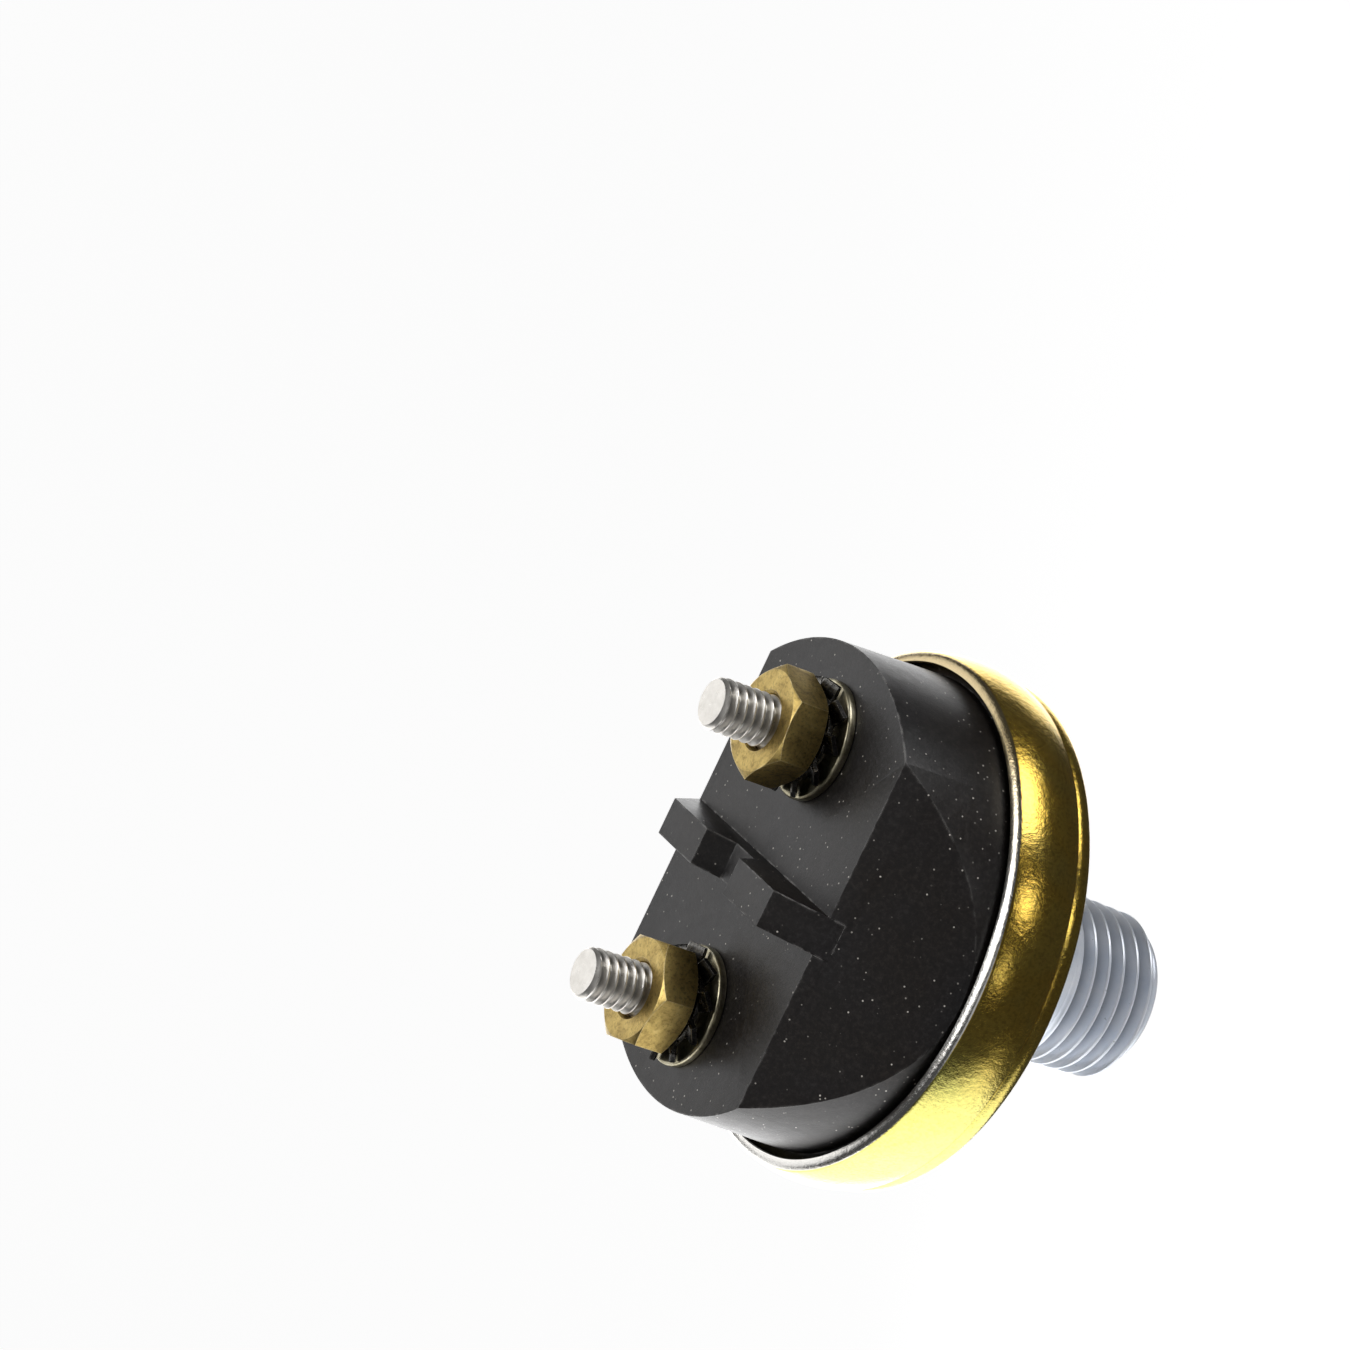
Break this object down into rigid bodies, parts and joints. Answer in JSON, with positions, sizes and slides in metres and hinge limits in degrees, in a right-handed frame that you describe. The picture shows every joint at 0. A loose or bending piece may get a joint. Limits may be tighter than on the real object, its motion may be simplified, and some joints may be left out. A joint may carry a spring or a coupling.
{
  "type": "pressure switch",
  "caption": "Pressure switch with a tapered pipe thread and hexagon, a crimped plated ring, and a black moulded housing with two screw terminals.",
  "frame": {"origin": "centre of the port's end face, at the bottom of the box", "axes": "+Z along the port thread towards the terminals; the two terminals lie in a line along Y; the housing's slanted flats face +X and -X"},
  "size_m": [0.042, 0.042, 0.0445],
  "materials": {
    "zinc_steel": "dull zinc plate over turned steel",
    "yellow_chromate": "yellow chromate conversion coating on sheet steel",
    "black_phenolic": "moulded phenolic, matt",
    "nitrile": "nitrile rubber",
    "diaphragm_film": "polyimide film",
    "plain_steel": "plain steel",
    "gasket_fibre": "pressed fibre",
    "brown_phenolic": "turned phenolic",
    "spring_wire": "spring wire",
    "contact_copper": "phosphor bronze strip",
    "contact_silver": "silver contact alloy",
    "bright_zinc": "bright zinc plate",
    "pale_brass": "pale plated brass",
    "black_oxide": "black oxide on spring steel",
    "brass": "machined brass"
  },
  "bodies": {
    "switch_body": {"base_fitting": "zinc_steel", "crimp_ring": "yellow_chromate", "housing": "black_phenolic", "seal_ring": "nitrile", "diaphragm": "diaphragm_film", "stop_plate": "plain_steel", "housing_gasket": "gasket_fibre", "guide_plate": "plain_steel", "range_spring": "spring_wire", "return_spring": "spring_wire", "terminal_stud_a": "bright_zinc", "stud_contact_a": "contact_silver", "stud_seal_a": "nitrile", "flat_washer_a": "pale_brass", "terminal_stud_b": "bright_zinc", "stud_contact_b": "contact_silver", "stud_seal_b": "nitrile", "flat_washer_b": "pale_brass"},
    "moving_stack": {"pressure_plate": "plain_steel", "plunger": "brown_phenolic", "contact_bridge": "contact_copper", "bridge_contacts": "contact_silver"},
    "lock_washer_body_a": {"lock_washer_a": "black_oxide"},
    "nut_body_a": {"terminal_nut_a": "brass"},
    "lock_washer_body_b": {"lock_washer_b": "black_oxide"},
    "nut_body_b": {"terminal_nut_b": "brass"}
  },
  "joints": [
    {"name": "pressure_stroke", "type": "slide", "parent": "switch_body", "child": "moving_stack", "axis": [0, 0, 1], "range_m": [0, 0.00058], "stiffness_N_per_m": 1500, "springref_m": -0.0005, "deforming": ["range_spring", "return_spring", "diaphragm"]},
    {"name": "nut_lift_a", "type": "slide", "parent": "switch_body", "child": "lock_washer_body_a", "axis": [0, 0, 1], "range_m": [0, 0.00556]},
    {"name": "nut_turn_a", "type": "hinge", "parent": "lock_washer_body_a", "child": "nut_body_a", "pos_m": [0, 0.01128, 0.0368], "axis": [0, 0, 1], "range_deg": [0, 2520.2]},
    {"name": "nut_lift_b", "type": "slide", "parent": "switch_body", "child": "lock_washer_body_b", "axis": [0, 0, 1], "range_m": [0, 0.00556]},
    {"name": "nut_turn_b", "type": "hinge", "parent": "lock_washer_body_b", "child": "nut_body_b", "pos_m": [0, -0.01128, 0.0368], "axis": [0, 0, 1], "range_deg": [0, 2520.2]}
  ],
  "couplings": [
    {"joint": "nut_turn_a", "follows": "nut_lift_a", "rad_per_m": 7915.8},
    {"joint": "nut_turn_b", "follows": "nut_lift_b", "rad_per_m": 7915.8}
  ]
}
